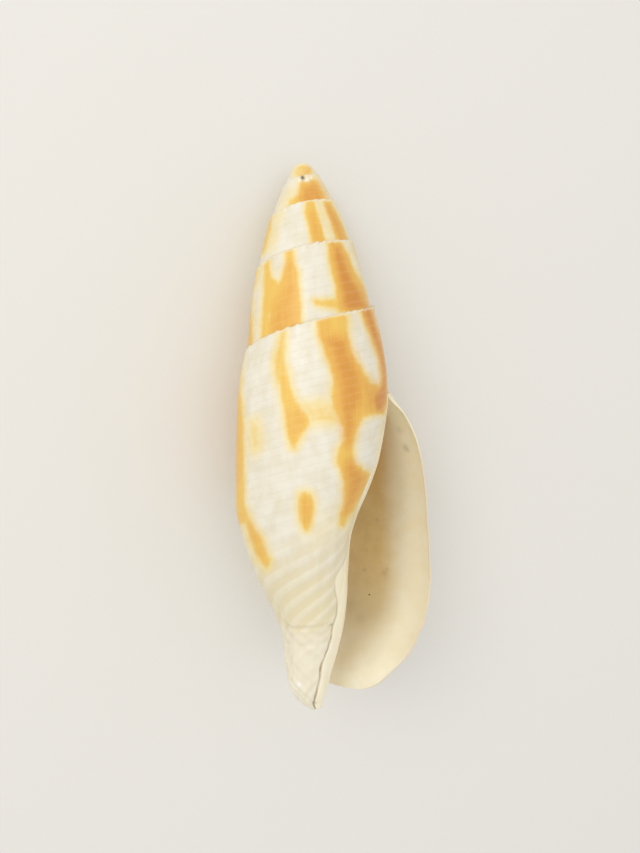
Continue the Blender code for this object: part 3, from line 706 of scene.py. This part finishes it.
def far_side():
    """Flames of the same kind on the parts of the whorls that the view doesn't show."""
    strokes = []
    rng = np.random.default_rng(29)
    for whorl in range(-5, 0):
        t = whorl + 0.53 if whorl > -5 else whorl + 0.75
        stop = whorl + 0.93
        while t < stop:
            top = float(suture(t))
            low = float(suture(t + 1)) if whorl < -1 else 62 + 8 * rng.uniform(-1, 1)
            tall = low - top
            width = np.clip(float(outer_r(np.array([t]), np.array([top + tall / 2]))[0]) * 0.13, 0.5, 2.0)
            n = 9
            lean = rng.uniform(-0.25, 0.35) * tall
            bend = rng.uniform(0.3, 1.0)
            start = 0.0 if rng.uniform() < 0.7 else rng.uniform(0.1, 0.3)
            finish = 1.02 if whorl < -1 else rng.uniform(0.8, 1.0)
            stroke = []
            phase = rng.uniform(0, 2 * np.pi)
            r = float(outer_r(np.array([t]), np.array([top + tall / 2]))[0])
            for k in range(n):
                s = start + (finish - start) * k / (n - 1)
                x = lean * s + bend * width * math.sin(phase + 4.5 * s)
                wide = width * (0.55 + 0.8 * math.sin(math.pi * min(1, s * 1.05)) ** 1.2
                                + 0.25 * math.sin(phase + 9 * s))
                stroke.append((t + x / (2 * math.pi * r), top + s * tall, max(0.25, wide)))
            strokes.append(stroke)
            t += (2.2 * width + rng.uniform(1.5, 4.5)) / (2 * math.pi * r) + 0.02
    return strokes


def distance(strokes, theta, d, r):
    """Signed distance in mm to the nearest stroke's edge, negative inside it."""
    best = np.full(len(theta), 6.0)
    for stroke in strokes:
        lo_t = min(p[0] for p in stroke)
        hi_t = max(p[0] for p in stroke)
        lo_d = min(p[1] for p in stroke)
        hi_d = max(p[1] for p in stroke)
        reach = 8.0 / (2 * np.pi * np.maximum(r, 1.0))
        near = (theta > lo_t - reach) & (theta < hi_t + reach) & (d > lo_d - 8) & (d < hi_d + 8)
        if not near.any():
            continue
        t, dd, k = theta[near], d[near], 2 * np.pi * r[near]
        got = best[near]
        for (t0, d0, w0), (t1, d1, w1) in zip(stroke, stroke[1:]):
            ax, ay = (t - t0) * k, dd - d0
            bx, by = (t1 - t0) * k, d1 - d0
            h = np.clip((ax * bx + ay * by) / (bx * bx + by * by + 1e-9), 0, 1)
            got = np.minimum(got, np.hypot(ax - h * bx, ay - h * by) - (w0 + (w1 - w0) * h))
        best[near] = got
    return best


# ---------------------------------------------------------------- the shell
# where the part's own frame starts, in the resting frame, in millimetres
ORIGIN = np.array([1.8292998621282033, -45.18734236837692, -4.661594539254537])


def to_frame(points):
    """From the growth frame to the part's frame, in metres."""
    return (resting(points) - ORIGIN) * MM


raw, faces, facts = shell_surface(COLUMNS, ROWS_WHORL, ROWS_BODY, RIM_STEPS)
kind, theta, down, deep = facts.T
at = to_frame(raw)
at[:, 2] = np.maximum(at[:, 2], 0.0)
radius = np.hypot(raw[:, 0] - axis_x(raw[:, 1]), raw[:, 2])

mesh = bpy.data.meshes.new("shell_skin")
mesh.from_pydata(at.tolist(), [], [[int(i) for i in f[::-1]] for f in faces])
mesh.validate()
for face in mesh.polygons:
    face.use_smooth = True

outer = kind == 0
side = callus_side(theta, down, radius)
cover = np.where(outer, ease(-0.25, 0.35, side) * (theta < -0.6) * (theta > -1.02) * ease(38.7, 39.6, down), 1.0)
u, v = view_of(raw)
whorl = np.round(theta + 0.75).astype(int)
gap = distance(far_side(), theta, down, radius)
run = np.interp(theta, _t, _run)
# nothing on the far side is quite even
gap = gap + 0.55 * waves(run * 0.75 + down * 0.35, 51) + 0.45 * waves(down * 1.1 - run * 0.25, 52)
turned_by = 1.5 * waves(down * 0.55, 53) - 0.4
facing = ease(turned_by - 1.9, turned_by, raw[:, 2])
gold = facing * painted(GOLD, whorl, u, v) + (1 - facing) * ease(0.9, -0.7, gap)
rust = facing * painted(RUST, whorl, u, v) + (1 - facing) * 0.8 * ease(-0.2, -1.3, gap)
gold, rust = np.where(outer, gold, 0.0), np.where(outer, rust, 0.0)
# the hollow: tan in its depth, partly real tan and partly painted shade, with a few specks
tan_and_shade = np.where(kind > 0, np.maximum(ease(15, -10, outline_gap(TAN_AND_SHADE_OUTLINE, u, v)), ease(16, 34, deep)), 0.0)
tan_and_shade = np.where((kind == 1) & (theta > -0.30), tan_and_shade * ease(-0.02, -0.16, theta), tan_and_shade)
speck = np.zeros(len(raw))
wall = np.where((kind == 2) & (theta > -0.33))[0]
for across, below, size, strength in SPECKS:
    spot = raw[wall[np.argmin((u[wall] - across) ** 2 + (v[wall] - below) ** 2)]]
    speck = np.maximum(speck, strength * np.exp(-((np.linalg.norm(raw - spot, axis=1) / size) ** 2)) * (kind == 2))
dot_at = wall[np.argmin((u[wall] - DOT[0]) ** 2 + (v[wall] - DOT[1]) ** 2)]
DOT_TURN, DOT_DOWN = float(theta[dot_at]), float(down[dot_at])
DOT_R = float(radius[dot_at])
outside = np.where(outer & (raw[:, 2] > 0))[0]
pit_shade_and_dark_marks, pale = np.zeros(len(raw)), np.zeros(len(raw))
for across, below, size, tone in CHIPS:
    spot = raw[outside[np.argmin((u[outside] - across) ** 2 + (v[outside] - below) ** 2)]]
    mark = np.exp(-((np.linalg.norm(raw - spot, axis=1) / size) ** 2)) * outer
    pit_shade_and_dark_marks, pale = np.maximum(pit_shade_and_dark_marks, tone * mark), np.maximum(pale, -tone * mark)
run = np.interp(theta, _t, _run)
for name, value in (
    ("turn", theta), ("down", down), ("line", spiral_line(theta, down)), ("run", run),
    ("gold", gold), ("rust", rust), ("cover", cover), ("tan_and_shade", tan_and_shade), ("speck", speck),
    ("rim", (kind == 3) * ease(44, 52, raw[:, 1])), ("deep", deep), ("inside", (kind > 0).astype(float)), ("side", np.clip(side, -6, 6)),
    ("dark_marks_and_pit_shade", pit_shade_and_dark_marks), ("chip_pale", pale),
    ("under_suture", np.clip(down - suture(theta), 0, 20)),
):
    layer = mesh.attributes.new(name, "FLOAT", "POINT")
    layer.data.foreach_set("value", np.asarray(value, np.float32))

shell = bpy.data.objects.new("shell_skin", mesh)
bpy.context.scene.collection.objects.link(shell)
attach(shell, "root")
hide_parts("miter_shell")


# ---------------------------------------------------------------- its material
def linear(code):
    c = [int(code[i:i + 2], 16) / 255 for i in (1, 3, 5)]
    return tuple(x / 12.92 if x <= 0.04045 else ((x + 0.055) / 1.055) ** 2.4 for x in c) + (1.0,)


class Graph:
    """Short calls for building a node tree."""

    def __init__(self, tree):
        self.tree = tree

    def add(self, kind, **settings):
        node = self.tree.nodes.new(kind)
        for key, value in settings.items():
            setattr(node, key, value)
        return node

    def put(self, socket, value):
        if isinstance(value, bpy.types.NodeSocket):
            self.tree.links.new(value, socket)
        else:
            socket.default_value = value

    def attribute(self, name):
        return self.add("ShaderNodeAttribute", attribute_name=name).outputs["Fac"]

    def math(self, operation, a, b=0.0, c=0.0, clamp=False):
        node = self.add("ShaderNodeMath", operation=operation, use_clamp=clamp)
        for socket, value in zip(node.inputs, (a, b, c)):
            self.put(socket, value)
        return node.outputs[0]

    def vector(self, x, y, z=0.0):
        node = self.add("ShaderNodeCombineXYZ")
        for socket, value in zip(node.inputs, (x, y, z)):
            self.put(socket, value)
        return node.outputs[0]

    def noise(self, vector, scale=1.0, detail=2.0, rough=0.5):
        node = self.add("ShaderNodeTexNoise")
        self.put(node.inputs["Vector"], vector)
        node.inputs["Scale"].default_value = scale
        node.inputs["Detail"].default_value = detail
        node.inputs["Roughness"].default_value = rough
        return node.outputs["Fac"]

    def ramp(self, value, low, high, out_low=0.0, out_high=1.0, smooth=True):
        node = self.add("ShaderNodeMapRange", interpolation_type="SMOOTHSTEP" if smooth else "LINEAR")
        self.put(node.inputs["Value"], value)
        for name, number in (("From Min", low), ("From Max", high), ("To Min", out_low), ("To Max", out_high)):
            self.put(node.inputs[name], number)
        return node.outputs["Result"]

    def mix(self, share, a, b):
        node = self.add("ShaderNodeMix", data_type="RGBA")
        self.put(node.inputs["Factor"], share)
        self.put(node.inputs["A"] if node.inputs["A"].type == "RGBA" else node.inputs[6], a)
        self.put(node.inputs["B"] if node.inputs["B"].type == "RGBA" else node.inputs[7], b)
        return node.outputs[2]


material = bpy.data.materials.new("shell_flamed")
material.use_nodes = True
g = Graph(material.node_tree)
surface = material.node_tree.nodes["Principled BSDF"]

turn, depth_d, line, along = (g.attribute(n) for n in ("turn", "down", "line", "run"))
gold_in, rust_in, covered = (g.attribute(n) for n in ("gold", "rust", "cover"))
tan_and_shade_in, speck_in = g.attribute("tan_and_shade"), g.attribute("speck")
deep_mm, inside, under = (g.attribute(n) for n in ("deep", "inside", "under_suture"))

# noise fields that follow growth: long along the axis, short round the whorl
streak = g.noise(g.vector(g.math("MULTIPLY", along, 2.6), g.math("MULTIPLY", depth_d, 0.16)), 1.0, 3.0, 0.6)
fine = g.noise(g.vector(g.math("MULTIPLY", along, 8.0), g.math("MULTIPLY", depth_d, 0.5)), 1.0, 2.0, 0.6)
blot = g.noise(g.vector(g.math("MULTIPLY", along, 0.45), g.math("MULTIPLY", depth_d, 0.30)), 1.0, 3.0, 0.55)
edge_n = g.noise(g.vector(g.math("MULTIPLY", along, 0.9), g.math("MULTIPLY", depth_d, 0.55), 3.0), 1.0, 3.0, 0.6)
cross = g.noise(g.vector(g.math("MULTIPLY", along, 0.35), g.math("MULTIPLY", depth_d, 3.2), 5.0), 1.0, 2.0, 0.6)

# distance from the nearest spiral line, 0 on it and 0.5 midway
saw = g.math("ABSOLUTE", g.math("SUBTRACT", line, g.math("ROUND", line)))
on_line = g.ramp(saw, 0.20, 0.02)
base = g.ramp(depth_d, 52, 64)

# cream ground
cream = g.mix(g.ramp(blot, 0.35, 0.7), linear("#EDE8D9"), linear("#E6DEC8"))
cream = g.mix(g.ramp(streak, 0.45, 0.8, 0.0, 0.22), cream, linear("#EBDDB8"))
cream = g.mix(g.ramp(depth_d, 58, 72, 0.0, 0.8), cream, linear("#EADFBE"))
cream = g.mix(g.math("MULTIPLY", g.ramp(saw, 0.12, 0.34), g.ramp(depth_d, 58, 66, 0.0, 0.32)), cream, linear("#D9C78E"))
cream = g.mix(g.ramp(depth_d, 74, 78, 0.0, 0.75), cream, linear("#EFE7D3"))
cream = g.mix(g.math("MULTIPLY", on_line, g.ramp(depth_d, 56, 62, 0.09, 0.0)), cream, linear("#C9C0A2"))

# flames: soft shapes whose edges follow the growth streaks and spiral lines a little
jitter = g.math("ADD", g.math("MULTIPLY", g.math("SUBTRACT", edge_n, 0.5), 1.0),
                g.math("MULTIPLY", g.math("SUBTRACT", streak, 0.5), 0.20))
jitter = g.math("ADD", jitter, g.math("MULTIPLY", g.math("SUBTRACT", cross, 0.5), 0.55))


def frayed(value, much):
    room = g.math("MULTIPLY", g.math("MULTIPLY", value, g.math("SUBTRACT", 1.0, value)), much)
    return g.math("ADD", value, g.math("MULTIPLY", room, jitter), clamp=True)


gold = frayed(gold_in, 1.8)
rust = frayed(rust_in, 1.8)
yellow = g.mix(g.ramp(streak, 0.3, 0.75), linear("#EFC45E"), linear("#ECBE56"))
lemon = g.mix(g.ramp(blot, 0.3, 0.7), linear("#F6DE8E"), linear("#F3D882"))
yellow = g.mix(g.ramp(gold, 0.45, 0.95), lemon, yellow)
orange = g.mix(g.ramp(streak, 0.3, 0.8), linear("#E29C40"), linear("#DD9238"))
orange = g.mix(g.ramp(rust, 0.45, 1.0, 0.0, 0.85), orange, linear("#D38B32"))
orange = g.mix(g.math("MULTIPLY", on_line, 0.14), orange, linear("#F0C78A"))
colour = g.mix(g.ramp(gold, 0.0, 0.8, smooth=False), cream, yellow)
colour = g.mix(rust, colour, orange)
# a pale rim under each suture
colour = g.mix(g.math("MULTIPLY", g.ramp(under, 0.50, 0.12, 0.0, 0.6), g.ramp(depth_d, 4, 14, 0.15, 1.0)), colour, linear("#F3E8CF"))

# callus, lip and hollow
glaze = g.mix(g.ramp(blot, 0.3, 0.75), linear("#FBF3D9"), linear("#F8EDCB"))
# the hollow's tan: partly its real colour, partly painted shade
tan_and_shade = g.mix(g.ramp(blot, 0.3, 0.7), linear("#E8CB8A"), linear("#DEBF7E"))
tan_and_shade = g.mix(g.ramp(depth_d, 60, 46), tan_and_shade, linear("#E4B453"))
tan_and_shade = g.mix(g.ramp(depth_d, 66, 80, 0.0, 0.8), tan_and_shade, linear("#D6C297"))
glaze = g.mix(g.math("MULTIPLY", tan_and_shade_in, g.ramp(depth_d, 76, 83, 0.9, 0.55)), glaze, tan_and_shade)
# darker the deeper in from the lip: partly the real tan, partly painted shade
glaze = g.mix(g.ramp(deep_mm, 22.0, 50.0, 0.0, 0.7), glaze, linear("#C49F5C"))
glaze = g.mix(g.math("MULTIPLY", g.attribute("rim"), 0.55), glaze, linear("#D9BE9C"))
glaze = g.mix(speck_in, glaze, linear("#7A6440"))
off_turn = g.math("MULTIPLY", g.math("SUBTRACT", turn, DOT_TURN), 2 * math.pi * DOT_R)
off_down = g.math("SUBTRACT", depth_d, DOT_DOWN)
off = g.math("SQRT", g.math("ADD", g.math("MULTIPLY", off_turn, off_turn), g.math("MULTIPLY", off_down, off_down)))
glaze = g.mix(g.math("MULTIPLY", g.ramp(off, 0.20, 0.09, 0.0, 0.9), inside), glaze, linear("#2A221A"))
colour = g.mix(covered, colour, glaze)
# painted shade in the crevice along the callus, then the pale chips and the dark marks, which are painted shade in the
# pit
beside = g.math("ABSOLUTE", g.math("ADD", g.attribute("side"), 0.10))
crevice_shade = g.math("MULTIPLY", g.ramp(beside, 0.28, 0.06), g.ramp(depth_d, 66, 80, 0.12, 0.66))
crevice_shade = g.math("MULTIPLY", crevice_shade, g.ramp(blot, 0.40, 0.60, 0.45, 1.0))
crevice_shade = g.math("MULTIPLY", crevice_shade, g.math("SUBTRACT", 1.0, inside))
colour = g.mix(crevice_shade, colour, linear("#8A6C38"))
colour = g.mix(g.attribute("chip_pale"), colour, linear("#FBF8EE"))
# painted shade in the pit near the apex, and dark spots at the ends of the crease and the crevice
colour = g.mix(g.attribute("dark_marks_and_pit_shade"), colour, linear("#453A28"))
g.put(surface.inputs["Base Color"], colour)

rough = g.ramp(g.noise(g.vector(along, depth_d, 9.0), 1.6, 3.0, 0.6), 0.3, 0.7, 0.34, 0.46)
rough = g.ramp(covered, 0.0, 1.0, rough, 0.32, smooth=False)
g.put(surface.inputs["Roughness"], rough)
surface.inputs["Specular IOR Level"].default_value = 0.5
surface.inputs["IOR"].default_value = 1.53
surface.inputs["Subsurface Weight"].default_value = 0.0
surface.inputs["Subsurface Radius"].default_value = (1.0, 0.62, 0.35)
surface.inputs["Subsurface Scale"].default_value = 0.0012

# relief too fine for the mesh, in millimetres
bare = g.math("SUBTRACT", 1.0, covered)
height = g.math("MULTIPLY", g.math("SUBTRACT", streak, 0.5), 0.020)
height = g.math("ADD", height, g.math("MULTIPLY", g.math("SUBTRACT", fine, 0.5), 0.008))
height = g.math("SUBTRACT", height, g.math("MULTIPLY", g.math("MULTIPLY", g.ramp(saw, 0.14, 0.0), g.math("SUBTRACT", 1.0, base)), 0.010))
height = g.math("MULTIPLY", height, bare)
bump = g.add("ShaderNodeBump")
bump.inputs["Strength"].default_value = 1.0
bump.inputs["Distance"].default_value = 0.001
g.put(bump.inputs["Height"], height)
g.put(surface.inputs["Normal"], bump.outputs["Normal"])
mesh.materials.append(material)

# ---------------------------------------------------------------- floor, light, camera
floor_mesh = bpy.data.meshes.new("floor")
bm = bmesh.new()
bmesh.ops.create_grid(bm, x_segments=1, y_segments=1, size=1.6)
bm.to_mesh(floor_mesh)
bm.free()
floor = bpy.data.objects.new("floor", floor_mesh)
floor.location = (0, 0, -0.0001)
bpy.context.scene.collection.objects.link(floor)
paper = bpy.data.materials.new("floor_paper")
paper.use_nodes = True
ground = paper.node_tree.nodes["Principled BSDF"]
ground.inputs["Base Color"].default_value = linear("#E9E7E2")
ground.inputs["Roughness"].default_value = 0.8
floor_mesh.materials.append(paper)

SPIN = np.stack([to_frame(v[None, :])[0] - to_frame(np.zeros((1, 3)))[0]
                 for v in (np.array([1.0, 0, 0]), np.array([0, -1.0, 0]), np.array([0, 0, 1.0]))], 1) / MM


def turned(v):
    """A direction of the view (right, up, toward the viewer) in the part's frame."""
    return Vector((SPIN @ np.array(v, float)).tolist())


LOOK_AT = to_frame(np.array([[-0.114, 43.58, 0.0]]))[0]
eye = to_frame(np.array([[-0.114, 43.58, 110.6]]))[0]
right = turned((0.998, -0.0632, 0)).normalized()
ahead_up = turned((0.0632, 0.998, 0)).normalized()
toward = right.cross(ahead_up).normalized()
cam_data = bpy.data.cameras.new("camera")
cam_data.sensor_fit = "AUTO"
cam_data.sensor_width = 36.0
cam_data.lens = 670.0 * 36.0 / 853.0
cam_data.clip_start = 0.005
cam_data.clip_end = 20.0
camera = bpy.data.objects.new("camera", cam_data)
camera.matrix_world = Matrix((
    (right.x, ahead_up.x, toward.x, eye[0]),
    (right.y, ahead_up.y, toward.y, eye[1]),
    (right.z, ahead_up.z, toward.z, eye[2]),
    (0, 0, 0, 1),
))
bpy.context.scene.collection.objects.link(camera)
bpy.context.scene.camera = camera


def lamp(name, direction, distance_m, size, power, colour):
    data = bpy.data.lights.new(name, "AREA")
    data.shape = "DISK"
    data.size = size
    data.energy = power
    data.color = colour
    light = bpy.data.objects.new(name, data)
    away = turned(direction).normalized()
    light.location = Vector(LOOK_AT.tolist()) + away * distance_m
    light.rotation_mode = "QUATERNION"
    light.rotation_quaternion = away.to_track_quat("Z", "Y")
    bpy.context.scene.collection.objects.link(light)
    return light


lamp("key", (-0.36, 0.42, 0.90), 0.60, 0.36, 0.95, (1.0, 0.985, 0.96))
lamp("fill", (0.40, -0.1, 1.0), 0.8, 0.6, 0.60, (1.0, 0.985, 0.96))
world = bpy.data.worlds.new("studio")
world.use_nodes = True
world.node_tree.nodes["Background"].inputs["Color"].default_value = (1.0, 0.99, 0.97, 1.0)
world.node_tree.nodes["Background"].inputs["Strength"].default_value = 0.78
bpy.context.scene.world = world
bpy.context.scene.view_settings.view_transform = "Standard"
